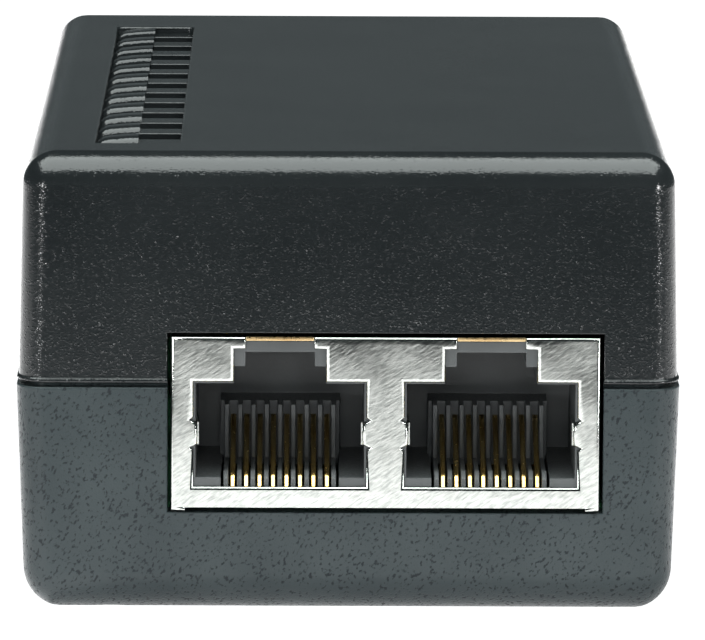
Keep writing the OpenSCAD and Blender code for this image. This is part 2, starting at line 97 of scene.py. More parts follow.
# Angles between faces from which an edge counts as sharp: copies of nodes, slots, wall openings
SHARP_COPY = math.radians(40)
SHARP_VENT = math.radians(50)
SHARP_OPENING = math.radians(60)
# A point this close to a face counts as lying in it
TOUCH = 0.01 * MM


# ---------------------------------------------------------------- mesh helpers

def link(name, mesh):
    """Puts a mesh into the scene as a piece."""
    piece = bpy.data.objects.new(name, mesh)
    bpy.context.scene.collection.objects.link(piece)
    return piece


CORNER_STEPS = 8


def quarter(steps):
    """Angles of a quarter round, from 0 to 90 degrees."""
    return [math.radians(90 * i / steps) for i in range(steps + 1)]


def rounded_ring(width, length, radius, z):
    """Points of a rectangle with rounded corners at height z, anticlockwise from the +X side."""
    points = []
    for corner, (sx, sy) in enumerate(((1, 1), (-1, 1), (-1, -1), (1, -1))):
        for i in range(CORNER_STEPS + 1):
            angle = math.radians(90 * (corner + i / CORNER_STEPS))
            points.append(Vector((
                sx * (width / 2 - radius) + radius * math.cos(angle),
                sy * (length / 2 - radius) + radius * math.sin(angle),
                z,
            )))
    return points


def loft(rings):
    """bmesh through rings of equal length, with flat ends."""
    bm = bmesh.new()
    rows = [[bm.verts.new(p) for p in ring] for ring in rings]
    count = len(rows[0])
    for low, high in zip(rows, rows[1:]):
        for i in range(count):
            j = (i + 1) % count
            bm.faces.new((low[i], low[j], high[j], high[i]))
    bm.faces.new(list(reversed(rows[0])))
    bm.faces.new(rows[-1])
    bmesh.ops.recalc_face_normals(bm, faces=bm.faces)
    return bm


def to_mesh(bm, name):
    """Mesh of a bmesh, which is freed."""
    mesh = bpy.data.meshes.new(name)
    bm.to_mesh(mesh)
    bm.free()
    return mesh


def box_mesh(lo, hi):
    bm = bmesh.new()
    bmesh.ops.create_cube(bm, size=1)
    size = hi - lo
    for v in bm.verts:
        v.co = Vector((v.co.x * size.x, v.co.y * size.y, v.co.z * size.z)) + (lo + hi) / 2
    return bm


def boolean(piece, cutter_bms, operation="DIFFERENCE"):
    """Cuts or joins helper solids with the piece and removes the helpers."""
    for bm in cutter_bms:
        helper = link("helper", to_mesh(bm, "helper"))
        tool = piece.modifiers.new("cut", "BOOLEAN")
        tool.operation = operation
        tool.solver = "EXACT"
        tool.object = helper
        apply_modifiers(piece)
        bpy.data.objects.remove(helper)


def apply_modifiers(piece):
    """Bakes a piece's modifiers into its mesh."""
    graph = bpy.context.evaluated_depsgraph_get()
    done = bpy.data.meshes.new_from_object(piece.evaluated_get(graph))
    piece.modifiers.clear()
    old = piece.data
    piece.data = done
    bpy.data.meshes.remove(old)


def tidy(piece, weld=1e-6, flat_angle=0.3):
    """Welds points closer than weld metres and joins faces that lie flat within flat_angle degrees."""
    bm = bmesh.new()
    bm.from_mesh(piece.data)
    bmesh.ops.remove_doubles(bm, verts=bm.verts, dist=weld)
    bmesh.ops.dissolve_limit(bm, angle_limit=math.radians(flat_angle), verts=bm.verts, edges=bm.edges)
    bm.to_mesh(piece.data)
    bm.free()


def bevel_edges(piece, chosen, width, segments=2):
    """Rounds the edges for which chosen(edge) is true."""
    bm = bmesh.new()
    bm.from_mesh(piece.data)
    edges = [e for e in bm.edges if e.is_manifold and chosen(e)]
    bmesh.ops.bevel(
        bm, geom=edges, offset=width, segments=segments, profile=0.5,
        affect="EDGES", clamp_overlap=False,
    )
    bm.to_mesh(piece.data)
    bm.free()


def smooth(piece, angle=32):
    """Shades a piece smooth, but for edges sharper than angle degrees."""
    mesh = piece.data
    mesh.shade_smooth()
    mesh.set_sharp_from_angle(angle=math.radians(angle))
    weights = piece.modifiers.new("normals", "WEIGHTED_NORMAL")
    weights.keep_sharp = True
    weights.mode = "FACE_AREA"
    apply_modifiers(piece)


# ---------------------------------------------------------------- case shells

def ring_at(inset, z, radius):
    """Outline of the case at height z, inset from the size of its rim."""
    return rounded_ring(WIDTH - 2 * inset, LENGTH - 2 * inset, radius, z)


def half_case_rings(height, round_r, lip_out, lip_in):
    """Rings of one half case from its inner ceiling, round the rim, to its outer end, rim at z = 0."""
    inner_h = height - WALL
    inner_r = max(INNER_R_MIN, round_r - WALL)
    inner_corner = max(INNER_CORNER_MIN, CORNER_R - WALL)
    rings = []
    for a in reversed(quarter(8)):
        z = inner_h - inner_r * (1 - math.sin(a))
        side = inner_r * (1 - math.cos(a))
        corner = max(CEILING_CORNER_MIN, inner_corner - side * 0.5)
        rings.append(ring_at(WALL + z * DRAFT + side, z, corner))
    rings += lip_in()
    rings += lip_out()
    for a in quarter(12):
        z = height - round_r * (1 - math.sin(a))
        side = round_r * (1 - math.cos(a))
        rings.append(ring_at(z * DRAFT + side, z, max(OUTER_CORNER_MIN, CORNER_R - side)))
    return rings


def rim_round():
    """Small round along the outer edge of a rim."""
    rings = []
    for a in quarter(4):
        inset = LIP_R * (1 - math.sin(a))
        z = LIP_R * (1 - math.cos(a))
        rings.append(ring_at(inset + z * DRAFT, z, CORNER_R))
    return rings


def cover_rim():
    """Rim of the cover: a narrow full-width band with a fine ledge above it, which catches the light."""
    rings = rim_round()
    for a in quarter(4):
        inset = LEDGE * (1 - math.cos(a))
        z = LEDGE_Z + LEDGE_RISE * math.sin(a)
        rings.append(ring_at(inset + z * DRAFT, z, CORNER_R))
    return rings


def cover_inner_lip():
    """Inner side of the cover's rim, thinned to a skirt."""
    step_z = TONGUE_H + TONGUE_PLAY
    return [ring_at(WALL, step_z, INNER_WALL_R),
            ring_at(SKIRT, step_z, RIM_STEP_R),
            ring_at(SKIRT, 0, RIM_STEP_R)]


def shell_inner_lip():
    """Inner side of the shell's rim, which stands up as a tongue."""
    return [ring_at(WALL, -TONGUE_H, INNER_WALL_R),
            ring_at(TONGUE, -TONGUE_H, RIM_STEP_R),
            ring_at(TONGUE, 0, RIM_STEP_R)]


def flip(rings, z_of):
    """Rings with each height z moved to z_of(z)."""
    return [[Vector((p.x, p.y, z_of(p.z))) for p in ring] for ring in rings]


def case_piece(name, height, round_r, outer_lip, inner_lip, z_of):
    """Plain half case, put in its place by z_of."""
    rings = half_case_rings(height, round_r, outer_lip, inner_lip)
    bm = loft(flip(rings, z_of))
    return link(name, to_mesh(bm, name))


FACE_PLAY = 0.25 * MM
JACK_SILL = 0.35 * MM
INLET_HALF_W = 14.25 * MM
INLET_H = 20.25 * MM
PAST_FACE = 2 * MM
PAST_WALL = 1.5 * MM


def face_cutters():
    """Space of the jack and the inlet in the case walls."""
    jack = box_mesh(
        Vector((shield_lo.x - FACE_PLAY, FRONT - PAST_FACE, board_top - JACK_SILL)),
        Vector((shield_hi.x + FACE_PLAY, FRONT + WALL + PAST_WALL, shield_hi.z + FACE_PLAY)))
    inlet = box_mesh(
        Vector((-INLET_HALF_W, BACK - WALL - PAST_WALL, board_top - FACE_PLAY)),
        Vector((INLET_HALF_W, BACK + PAST_FACE, board_top + INLET_H)))
    return [jack, inlet]


# Column of slots in the top: number, pitch, length and width, middle in X, front end
VENT_COUNT = 12
VENT_PITCH = 5.72 * MM
VENT_LEN = 6.4 * MM
VENT_W = 3.2 * MM
VENT_X = -16 * MM
VENT_START = FRONT + 6.8 * MM
VENT_CORNER_R = 0.5 * MM
VENT_PAST = 1 * MM
# The bars: crest at the left half, which falls and dips towards its left end, and a low right half
RIB_FRONT_R = 0.9 * MM
RIB_THINNER = 0.045 * MM
RIB_BACK_R = 0.5 * MM
RIB_SINK = 0.04 * MM
RIB_FALL = 0.3 * MM
RIB_END_DIP = 0.55 * MM
RIB_END_PART = 0.28
RIB_STEP = 0.55 * MM
RIB_STEP_FRONT_R = 0.12 * MM
RIB_STEP_BACK_R = 0.1 * MM
RIB_INTO_WALL = 0.2 * MM
RIB_INTO_RIB = 0.3 * MM
RIB_BELOW = 0.3 * MM
RIB_SECTIONS = 16


def vent_channel():
    """One long opening through the top, which the bars then divide into slots."""
    end = VENT_START + VENT_COUNT * VENT_PITCH - RIB_BACK_R / 2
    bm = box_mesh(
        Vector((VENT_X - VENT_LEN / 2, VENT_START, TOP - WALL - VENT_PAST)),
        Vector((VENT_X + VENT_LEN / 2, end, TOP + VENT_PAST)))
    upright = [e for e in bm.edges if abs(e.verts[0].co.z - e.verts[1].co.z) > VENT_PAST]
    bmesh.ops.bevel(bm, geom=upright, offset=VENT_CORNER_R, segments=4, profile=0.5,
                    affect="EDGES", clamp_overlap=False)
    return bm


def rib_outline(x, y_front, y_back, crest, front_r, back_r):
    """Section of a vent bar: flat under, with both upper edges rounded."""
    low = TOP - WALL - RIB_BELOW
    arc = quarter(8)
    front = [Vector((x, y_front + front_r * (1 - math.cos(a)), crest - front_r * (1 - math.sin(a))))
             for a in arc]
    back = [Vector((x, y_back - back_r * (1 - math.cos(a)), crest - back_r * (1 - math.sin(a))))
            for a in reversed(arc)]
    return [Vector((x, y_front, low))] + front + back + [Vector((x, y_back, low))]


def vent_rib(index):
    """One bar: its left half has a rounded crest that dips to the left, its right half is low and square."""
    y_front = VENT_START + VENT_W + index * VENT_PITCH
    y_back = y_front + VENT_PITCH - VENT_W
    left = VENT_X - VENT_LEN / 2 - RIB_INTO_WALL
    right = VENT_X + VENT_LEN / 2 + RIB_INTO_WALL
    crests = []
    for i in range(RIB_SECTIONS + 1):
        t = i / RIB_SECTIONS
        x = left + (VENT_X - left) * t
        fall = RIB_FALL * (1 - t) ** 1.5 + RIB_END_DIP * max(0, 1 - t / RIB_END_PART) ** 2
        crests.append(rib_outline(x, y_front, y_back, TOP - RIB_SINK - fall,
                                  RIB_FRONT_R - index * RIB_THINNER, RIB_BACK_R))
    low_half = [rib_outline(x, y_front, y_back, TOP - RIB_STEP, RIB_STEP_FRONT_R, RIB_STEP_BACK_R)
                for x in (VENT_X - RIB_INTO_RIB, right)]
    return [loft(crests), loft(low_half)]


# ---------------------------------------------------------------- screw posts and underside

# Screws and feet by their place from the middle of the case
SCREW_PLACES = [Vector((-18, -37.9, 0)) * MM, Vector((18, -20, 0)) * MM,
                Vector((-18, 37.9, 0)) * MM, Vector((18, 37.9, 0)) * MM]
FOOT_PLACES = [Vector((x, y, 0)) * MM for x in (-11, 11) for y in (-32, 32)]
POST_R = 2.6 * MM
POST_TOP = 14 * MM
HEAD_UNDER = 5.8 * MM
HEAD_HOLE_R = 2.4 * MM
SHANK_R = 1.35 * MM
FOOT_HOLE_R = 3.6 * MM
FOOT_SINK = 0.5 * MM
SHANK_TOP = TOP - 7 * MM
SHANK_PAST = 1 * MM
# Widening of the screw and foot holes at the underside, and how far their cutters reach out of it
HEAD_FLARE = 0.25 * MM
FOOT_FLARE = 0.12 * MM
HOLE_PAST = 0.01 * MM
# Label pocket: width, length, corner radius, and how deep it goes
LABEL_POCKET = (28.4 * MM, 48.4 * MM, 1.2 * MM)
LABEL_SINK = 0.15 * MM
LABEL_PAST = 1 * MM
ROD_SIDES = 40


def rod(centre, radius, z_low, z_high, flare=0.0):
    """Upright round bar; its lower end widens by flare."""
    turns = [math.tau * i / ROD_SIDES for i in range(ROD_SIDES)]
    rings = []
    for z, r in ((z_low, radius + flare), (z_low + flare, radius), (z_high, radius)):
        rings.append([Vector((centre.x + r * math.cos(a), centre.y + r * math.sin(a), z)) for a in turns])
    if flare == 0:
        rings.pop(1)
    return loft(rings)


VENT_EDGE_R = 0.2 * MM
OPENING_EDGE_R = 0.1 * MM


def make_cover():
    """Upper half of the case, with its screw posts and the column of slots."""
    rim = JOINT + JOINT_GAP / 2
    cover = case_piece("cover", TOP - rim, TOP_R, cover_rim, cover_inner_lip, lambda z: rim + z)
    boolean(cover, [rod(p, POST_R, POST_TOP, TOP - WALL / 2) for p in SCREW_PLACES], "UNION")
    holes = [rod(p, SHANK_R, POST_TOP - SHANK_PAST, SHANK_TOP) for p in SCREW_PLACES]
    boolean(cover, face_cutters() + holes + [vent_channel()])
    boolean(cover, [half for i in range(VENT_COUNT) for half in vent_rib(i)], "UNION")
    tidy(cover)

    def vent_rim(e):
        mid = (e.verts[0].co + e.verts[1].co) / 2
        return mid.z > TOP - TOUCH and e.calc_face_angle(0) > SHARP_VENT

    bevel_edges(cover, vent_rim, VENT_EDGE_R, 3)
    round_openings(cover)
    smooth(cover)
    return cover


def make_shell():
    """Lower half of the case, with its posts, counterbores, foot recesses and label pocket."""
    rim = JOINT - JOINT_GAP / 2
    shell = case_piece("shell", rim - BOTTOM, BOTTOM_R, rim_round, shell_inner_lip, lambda z: rim - z)
    boolean(shell, [rod(p, POST_R, BOTTOM + WALL / 2, POST_TOP) for p in SCREW_PLACES], "UNION")
    cuts = [rod(p, HEAD_HOLE_R, BOTTOM - HOLE_PAST, HEAD_UNDER, HEAD_FLARE) for p in SCREW_PLACES]
    cuts += [rod(p, SHANK_R, BOTTOM, POST_TOP + SHANK_PAST) for p in SCREW_PLACES]
    cuts += [rod(p, FOOT_HOLE_R, BOTTOM - HOLE_PAST, BOTTOM + FOOT_SINK, FOOT_FLARE) for p in FOOT_PLACES]
    pocket = [rounded_ring(*LABEL_POCKET, z) for z in (BOTTOM - LABEL_PAST, BOTTOM + LABEL_SINK)]
    cuts.append(loft(pocket))
    boolean(shell, face_cutters() + cuts)
    tidy(shell)
    round_openings(shell)
    smooth(shell)
    return shell


def round_openings(piece):
    """Breaks the sharp edges of the jack and inlet openings."""
    face_zone = 0.7 * MM
    joint_zone = 0.4 * MM

    def rim(e):
        mid = (e.verts[0].co + e.verts[1].co) / 2
        outside = mid.y < FRONT + face_zone or mid.y > BACK - face_zone
        near_joint = abs(mid.z - JOINT) < joint_zone
        return outside and not near_joint and e.calc_face_angle(0) > SHARP_OPENING

    bevel_edges(piece, rim, OPENING_EDGE_R)


# ---------------------------------------------------------------- double jack

DRESS_ROOM = 2.2


def dress(node, width):
    """Copy of a CAD node whose edges are rounded where they are sharp and longer than the round is wide."""
    piece = link(node + "_look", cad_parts[node].data.copy())
    tidy(piece)

    def sharp(e):
        return e.calc_length() > DRESS_ROOM * width and e.calc_face_angle(0) > SHARP_COPY

    if width > 0:
        bevel_edges(piece, sharp, width)
    smooth(piece)
    return piece


PORT_X = [(lo.x + hi.x) / 2 for lo, hi in spring_boxes]
NOTCH_HALF = 2.55 * MM
SHEET = 0.3 * MM
STRIP_PLAY = 0.01 * MM
STRIP_SINK = 0.04 * MM
STRIP_R = 0.05 * MM


def notch_strips():
    """Low and high corners of the strip along the top of each latch notch."""
    top = shield_hi.z
    half = NOTCH_HALF - STRIP_PLAY
    return [(Vector((x - half, shield_lo.y + STRIP_SINK, top - SHEET + STRIP_PLAY)),
             Vector((x + half, shield_lo.y + SHEET, top - STRIP_PLAY / 2))) for x in PORT_X]


# The front plate: half widths from the middle of a port, heights above the board
WINDOW_HALF = 6.5 * MM
WINDOW_LOW = 1.65 * MM
WINDOW_TOP = 9.65 * MM
LATCH_HALF = 3.45 * MM
LATCH_TOP = 12.15 * MM
TAB_LOW = 4.85 * MM
TAB_TOP = 6.55 * MM
TAB_IN = 0.3 * MM
RELIEF_X = 0.3 * MM
RELIEF_Z = 0.2 * MM
SHIELD_H = 13.1 * MM
FOOT_W = 1.1 * MM
FOOT_H = 0.2 * MM
ROLL = 0.28 * MM
FOLD_R = 0.2 * MM
FOLD_MIN = 4 * MM


def window_outline(x):
    """Port window with its latch notch, earthing tabs and corner reliefs, in X and height over the board."""
    half = [
        (NOTCH_HALF, SHIELD_H), (NOTCH_HALF, LATCH_TOP), (LATCH_HALF, LATCH_TOP), (LATCH_HALF, WINDOW_TOP),
        (WINDOW_HALF, WINDOW_TOP), (WINDOW_HALF, TAB_TOP + 2 * RELIEF_Z),
        (WINDOW_HALF + RELIEF_X, TAB_TOP + RELIEF_Z), (WINDOW_HALF - TAB_IN, TAB_TOP),
        (WINDOW_HALF - TAB_IN, TAB_LOW), (WINDOW_HALF + RELIEF_X, TAB_LOW - RELIEF_Z),
        (WINDOW_HALF, TAB_LOW - 2 * RELIEF_Z), (WINDOW_HALF, WINDOW_LOW),
    ]
    return [(x - a, b) for a, b in half] + [(x + a, b) for a, b in reversed(half)]


def shield_outline():
    """Outer edge of the front plate, dipping round both windows through the open latch notches."""
    left, right = shield_lo.x, shield_hi.x
    points = [(left, SHIELD_H), (left, -FOOT_H), (left + FOOT_W, -FOOT_H), (left + FOOT_W, 0)]
    points += [(right - FOOT_W, 0), (right - FOOT_W, -FOOT_H), (right, -FOOT_H), (right, SHIELD_H)]
    for x in reversed(PORT_X):
        points += list(reversed(window_outline(x)))
    return points


def shrink_outline(points, amount):
    """Moves the sides of an anticlockwise outline inwards, by less beside a very short side."""
    moved = []
    count = len(points)
    for i in range(count):
        (ax, az), (bx, bz), (cx, cz) = points[i - 1], points[i], points[(i + 1) % count]
        before = Vector((bx - ax, bz - az))
        after = Vector((cx - bx, cz - bz))
        room = 0.4 * min(before.length, after.length) / ROLL
        before.normalize()
        after.normalize()
        n1 = Vector((-before.y, before.x))
        n2 = Vector((-after.y, after.x))
        mitre = (n1 + n2) / max(0.5, 1 + n1.dot(n2)) * amount * min(1, room)
        moved.append((bx + mitre.x, bz + mitre.y))
    return moved


def make_shield():
    """Folded sheet: a front plate whose edges roll over, in front of the CAD sleeve."""
    outline = shield_outline()
    bm = bmesh.new()
    rings = []
    for a in quarter(5):
        ring = shrink_outline(outline, ROLL * (1 - math.sin(a)))
        depth = ROLL * (1 - math.cos(a))
        rings.append([bm.verts.new((x, shield_lo.y + depth, board_top + z)) for x, z in ring])
    rings.append([bm.verts.new((x, shield_lo.y + SHEET, board_top + z)) for x, z in outline])
    count = len(outline)
    for near, far in zip(rings, rings[1:]):
        for i in range(count):
            j = (i + 1) % count
            bm.faces.new((near[i], near[j], far[j], far[i]))
    for ring in (rings[0], rings[-1]):
        flat = [Vector((v.co.x, v.co.z, 0)) / MM for v in ring]
        for triangle in tessellate_polygon([flat]):
            bm.faces.new([ring[k] for k in triangle])
    bmesh.ops.recalc_face_normals(bm, faces=bm.faces)
    sleeve = link("sleeve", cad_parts["jack_shield"].data.copy())
    tidy(sleeve)
    reach = 5 * MM
    front = box_mesh(Vector((shield_lo.x - reach, shield_lo.y - reach, BOTTOM)),
                     Vector((shield_hi.x + reach, shield_lo.y + SHEET, TOP)))
    boolean(sleeve, [front])

    def fold(e):
        on_top = all(v.co.z > shield_hi.z - 2 * TOUCH for v in e.verts)
        return on_top and e.calc_length() > FOLD_MIN and e.calc_face_angle(0) > SHARP_OPENING

    bevel_edges(sleeve, fold, FOLD_R, 3)
    bm.from_mesh(sleeve.data)
    bpy.data.objects.remove(sleeve)
    piece = link("shield", to_mesh(bm, "shield"))
    smooth(piece, 40)
    return piece


def make_notch_edges():
    """Brass-coloured strips of sheet along the top of the latch notches."""
    bm = bmesh.new()
    mesh = bpy.data.meshes.new("strip")
    for lo, hi in notch_strips():
        strip = box_mesh(lo, hi)
        bmesh.ops.bevel(strip, geom=list(strip.edges), offset=STRIP_R, segments=2, profile=0.5,
                        affect="EDGES", clamp_overlap=True)
        strip.to_mesh(mesh)
        strip.free()
        bm.from_mesh(mesh)
    bpy.data.meshes.remove(mesh)
    piece = link("notch_edges", to_mesh(bm, "notch_edges"))
    smooth(piece)
    return piece


CONTACTS = 8
CONTACT_PITCH = 1.016 * MM
WIRE_W = 0.4 * MM
WIRE_T = 0.26 * MM
WIRE_CORNER = 0.35 * WIRE_T
# Path of a contact spring: slope and length of its front and of its rise, and the bend between them
STEEP = math.radians(53)
STEEP_LEN = 0.85 * MM
BEND_LEN = 0.8 * MM
RISE = math.radians(29)
SPRING_LEN = 7.9 * MM
TIP_FROM = 0.85 * SPRING_LEN
TIP_CURL = 2.2
SPRING_STEP = 0.06 * MM
PAST_PIVOT = 0.5 * MM
# Hinge of the springs, just in front of where their rise begins
PIVOT = Vector((0, shield_lo.y + 1.6 * MM, board_top + 2.15 * MM))


def wire_section(x, centre, along):
    """Rounded-rectangle section of a flat wire at a point of its path."""
    side = Vector((0, -along.z, along.y))
    ring = []
    for sx, ss in ((1, 1), (-1, 1), (-1, -1), (1, -1)):
        for a in quarter(3):
            u = WIRE_W / 2 - WIRE_CORNER * (1 - (math.cos(a) if sx * ss > 0 else math.sin(a)))
            v = WIRE_T / 2 - WIRE_CORNER * (1 - (math.sin(a) if sx * ss > 0 else math.cos(a)))
            ring.append(Vector((x + sx * u, 0, 0)) + Vector((0, centre.y, centre.z)) + side * ss * v)
    return ring


def spring_path():
    """Points and directions along a spring: a steep front, then a long rise that eases off at the tip."""
    count = int((SPRING_LEN + STEEP_LEN) / SPRING_STEP)
    slopes = []
    for i in range(count + 1):
        run = i * SPRING_STEP
        bend = min(1, max(0, (run - STEEP_LEN) / BEND_LEN))
        tip = max(0, (run - STEEP_LEN - TIP_FROM) / SPRING_LEN)
        slopes.append(STEEP + (RISE - STEEP) * bend * bend * (3 - 2 * bend) - TIP_CURL * tip)
    places = [Vector((0, 0, 0))]
    for slope in slopes[:-1]:
        places.append(places[-1] + SPRING_STEP * Vector((0, math.cos(slope), math.sin(slope))))
    joined = int((STEEP_LEN + BEND_LEN) / SPRING_STEP) + 1
    on_line = PIVOT + PAST_PIVOT * Vector((0, math.cos(RISE), math.sin(RISE)))
    shift = on_line - places[joined]
    path = [(p + shift, Vector((0, math.cos(a), math.sin(a)))) for p, a in zip(places, slopes)]
    return path[:joined + 2] + path[joined + 2::6]


def make_springs(port):
    """The eight moving contact wires of a port."""
    bm = bmesh.new()
    mesh = bpy.data.meshes.new("wire")
    for i in range(CONTACTS):
        x = PORT_X[port] + (i - (CONTACTS - 1) / 2) * CONTACT_PITCH
        wire = loft([wire_section(x, p, d) for p, d in spring_path()])
        wire.to_mesh(mesh)
        wire.free()
        bm.from_mesh(mesh)
    bpy.data.meshes.remove(mesh)
    piece = link("springs_%d" % (port + 1), to_mesh(bm, "springs"))
    smooth(piece, 50)
    return piece


# ---------------------------------------------------------------- materials

class Nodes:
    """Short way to build a node tree; mm is the place on the object in millimetres."""

    def __init__(self, name):
        self.material = bpy.data.materials.new(name)
        self.material.use_nodes = True
        self.tree = self.material.node_tree
        self.shader = self.tree.nodes["Principled BSDF"]
        coords = self.add("ShaderNodeTexCoord")
        scale = self.add("ShaderNodeMapping")
        scale.inputs["Scale"].default_value = (1 / MM, 1 / MM, 1 / MM)
        self.link(coords.outputs["Object"], scale.inputs["Vector"])
        self.mm = scale.outputs["Vector"]

    def add(self, kind, **sockets):
        """New node with the given socket values, spaces in their names written as underscores."""
        node = self.tree.nodes.new(kind)
        for key, value in sockets.items():
            node.inputs[key.replace("_", " ")].default_value = value
        return node

    def link(self, a, b):
        self.tree.links.new(a, b)

    def noise(self, scale, detail=2.0, roughness=0.5, stretch=(1, 1, 1), turn=(0, 0, 0)):
        """Noise of scale features per mm, drawn out by stretch along axes turned by turn."""
        node = self.add("ShaderNodeTexNoise", Scale=scale, Detail=detail, Roughness=roughness)
        shape = self.add("ShaderNodeMapping", Rotation=turn, Scale=stretch)
        shape.vector_type = "TEXTURE"
        self.link(self.mm, shape.inputs["Vector"])
        self.link(shape.outputs["Vector"], node.inputs["Vector"])
        return node.outputs["Fac"]

    def dots(self, scale, core, edge):
        """Small domes, scale of them per mm, flat inside core and gone at edge, as parts of their spacing."""
        node = self.add("ShaderNodeTexVoronoi", Scale=scale)
        self.link(self.mm, node.inputs["Vector"])
        return self.ramp(node.outputs["Distance"], core, edge, 1.0, 0.0)

    def height(self, low, high, at_low, at_high):
        """Value that runs from at_low at height low to at_high at height high of the object."""
        split = self.add("ShaderNodeSeparateXYZ")
        self.link(self.mm, split.inputs["Vector"])
        return self.ramp(split.outputs["Z"], low / MM, high / MM, at_low, at_high)

    def times(self, a, b):
        """Product of two values."""
        node = self.add("ShaderNodeMath")
        node.operation = "MULTIPLY"
        self.link(a, node.inputs[0])
        self.link(b, node.inputs[1])
        return node.outputs["Value"]

    def ramp(self, value, low, high, out_low=0.0, out_high=1.0):
        """Value stretched from the range low to high onto out_low to out_high."""
        node = self.add("ShaderNodeMapRange")
        node.inputs["From Min"].default_value = low
        node.inputs["From Max"].default_value = high
        node.inputs["To Min"].default_value = out_low
        node.inputs["To Max"].default_value = out_high
        self.link(value, node.inputs["Value"])
        return node.outputs["Result"]

    def mix(self, fac, a, b):
        """Colour between a and b; sockets 6 and 7 and output 2 are the node's colours."""
        node = self.tree.nodes.new("ShaderNodeMix")
        node.data_type = "RGBA"
        for socket, value in ((6, a), (7, b)):
            if hasattr(value, "is_linked"):
                self.link(value, node.inputs[socket])
            else:
                node.inputs[socket].default_value = (*value, 1)
        self.link(fac, node.inputs[0])
        return node.outputs[2]

    def bump(self, height, distance, under=None):
        """Relief of a height field, distance metres high, over another relief if one is given."""
        node = self.add("ShaderNodeBump")
        node.inputs["Distance"].default_value = distance
        self.link(height, node.inputs["Height"])
        if under is not None:
            self.link(under, node.inputs["Normal"])
        return node.outputs["Normal"]

    def set(self, **values):
        """Sets or links sockets of the surface shader and returns the material."""
        for key, value in values.items():
            socket = self.shader.inputs[key.replace("_", " ")]
            if hasattr(value, "is_linked"):
                self.link(value, socket)
            else:
                socket.default_value = value
        return self.material


def cover_finish(name):
    """Near-black moulded plastic with a fine spark-eroded grain and a few sharper grains that glint."""
    n = Nodes(name)
    fine = n.noise(7.5, 2.0, 0.5)
    domes = n.dots(5.2, 0.1, 0.5)
    sparse = n.times(n.ramp(n.noise(2.6, 2.0), 0.40, 0.66), n.height(JOINT, TOP, 1.0, 0.35))
    grains = n.times(n.dots(4.6, 0.12, 0.42), sparse)
    cloud = n.noise(0.10, 2.0)
    colour = n.mix(n.ramp(cloud, 0.35, 0.65), (0.0072, 0.0088, 0.0094), (0.0094, 0.0112, 0.0118))
    roughness = n.ramp(fine, 0.3, 0.7, 0.09, 0.15)
    normal = n.bump(fine, 0.009 * MM)
    normal = n.bump(domes, 0.005 * MM, normal)
    normal = n.bump(grains, 0.036 * MM, normal)
    return n.set(Base_Color=colour, Roughness=roughness, Normal=normal, Specular_IOR_Level=0.42)


def shell_finish(name):
    """Moulded plastic like the cover's, its lighter grey base painted light, freckled with small pits
    darkened by painted shade.
    """
    n = Nodes(name)
    fine = n.noise(7.0, 2.0, 0.5)
    pits_and_shade = n.noise(4.2, 2.0, 0.5, (1, 1, 1.5), (0, math.radians(35), 0))
    cloud = n.noise(0.12, 2.0)
    # Painted light: this base is lighter than the cover's plastic, which is the same plastic, standing in for
    # the low light that grazes the lower half.
    ground = n.mix(n.ramp(cloud, 0.35, 0.65), (0.018, 0.025, 0.027), (0.024, 0.032, 0.034))
    # Painted shade: the pits are darker in colour, standing in for facets turned away from the light; their
    # bump and gloss are relief.
    colour = n.mix(n.ramp(pits_and_shade, 0.34, 0.44, 1.0, 0.0), ground, (0.006, 0.009, 0.011))
    roughness = n.ramp(pits_and_shade, 0.34, 0.46, 0.6, 0.3)
    normal = n.bump(fine, 0.02 * MM)
    normal = n.bump(n.ramp(pits_and_shade, 0.32, 0.48), 0.012 * MM, normal)
    return n.set(Base_Color=colour, Roughness=roughness, Normal=normal, Specular_IOR_Level=0.25)


def brushed_metal(name, dark, light, rough):
    """Tinned sheet with short slanting polish marks and a slightly uneven flatness."""
    n = Nodes(name)
    marks = n.noise(7.0, 3.0, 0.6, (5, 1, 1), (0, math.radians(-33), 0))
    waves = n.noise(0.14, 1.0)
    colour = n.mix(n.ramp(marks, 0.35, 0.65), dark, light)
    roughness = n.ramp(marks, 0.3, 0.7, rough - 0.05, rough + 0.07)
    normal = n.bump(waves, 0.12 * MM)
    normal = n.bump(marks, 0.007 * MM, normal)
    return n.set(Base_Color=colour, Metallic=1.0, Roughness=roughness, Normal=normal)


def finish(name, dark, light, rough, metallic=0.0, scale=2.0, height=0.004, stretch=(1, 1, 1)):
    """General finish: two close colours in a cloud, uneven gloss and a fine relief of height mm."""
    n = Nodes(name)
    cloud = n.noise(scale * 0.2, 3.0)
    grain = n.noise(scale * 2, 3.0, 0.6, stretch)
    colour = n.mix(n.ramp(cloud, 0.35, 0.65), dark, light)
    roughness = n.ramp(grain, 0.3, 0.7, max(0.05, rough - 0.08), rough + 0.08)
    normal = n.bump(grain, height * MM)
    return n.set(Base_Color=colour, Metallic=metallic, Roughness=roughness, Normal=normal)


def board_finish(name):
    """Green solder mask over a pattern of copper tracks."""
    n = Nodes(name)
    tracks = n.add("ShaderNodeTexBrick", Scale=0.35, Mortar_Size=0.06)
    n.link(n.mm, tracks.inputs["Vector"])
    weave = n.noise(5.0, 2.0)
    mask = n.mix(tracks.outputs["Fac"], (0.008, 0.045, 0.020), (0.02, 0.09, 0.04))
    colour = n.mix(n.ramp(weave, 0.3, 0.7, 0.0, 0.25), mask, (0.02, 0.05, 0.02))
    normal = n.bump(tracks.outputs["Fac"], 0.03 * MM)
    return n.set(Base_Color=colour, Roughness=0.32, Normal=normal)


